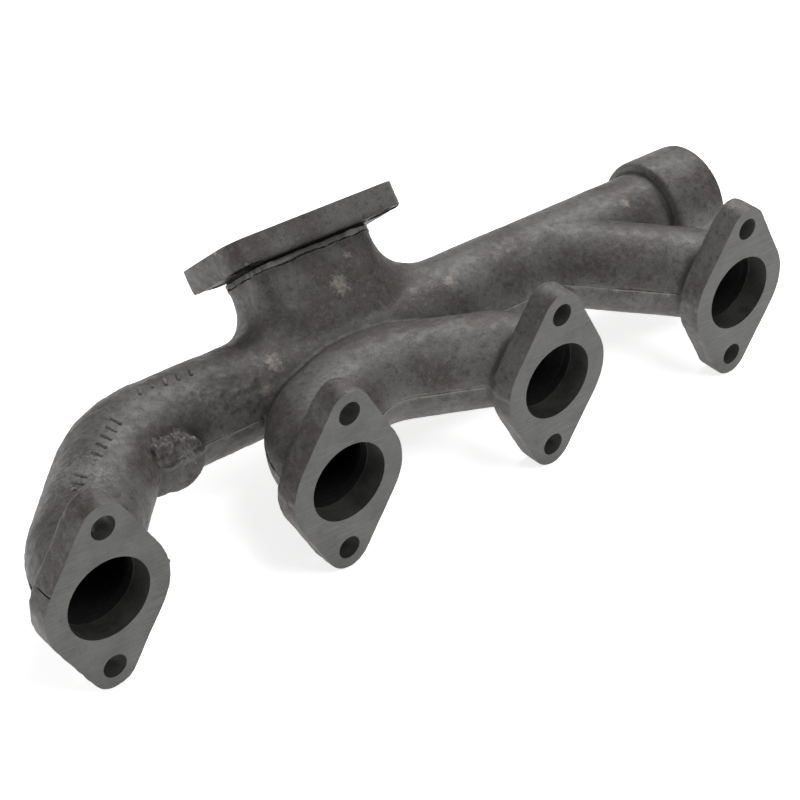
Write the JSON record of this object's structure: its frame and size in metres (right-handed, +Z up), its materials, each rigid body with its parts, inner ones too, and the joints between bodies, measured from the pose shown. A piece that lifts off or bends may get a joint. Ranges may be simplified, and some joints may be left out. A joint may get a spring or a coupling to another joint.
{
  "type": "exhaust manifold",
  "caption": "Cast exhaust manifold section with a slip socket, an elbow log, arched runners, oval port flanges and a tilted twin-entry turbocharger flange.",
  "frame": {"origin": "centre of the turbocharger flange face, on the divider wall between its two ducts", "axes": "+X along the engine towards the slip socket, +Y away from the cylinder head, +Z up along the pairs of port bolts; the turbocharger face looks along (0, 0.663, 0.749)"},
  "size_m": [0.471, 0.1544, 0.12],
  "materials": {
    "cast_iron": "shot-blasted as-cast skin, machined joint faces",
    "ring_iron": "turned"
  },
  "bodies": {
    "casting": {"manifold_casting": "cast_iron"},
    "ring_pack": {"seal_ring_inner": "ring_iron", "seal_ring_middle": "ring_iron", "seal_ring_mouth": "ring_iron"}
  },
  "joints": [
    {"name": "ring_pack_slide", "type": "slide", "parent": "casting", "child": "ring_pack", "axis": [1, 0, 0], "range_m": [-0.0018, 0.0018]}
  ]
}
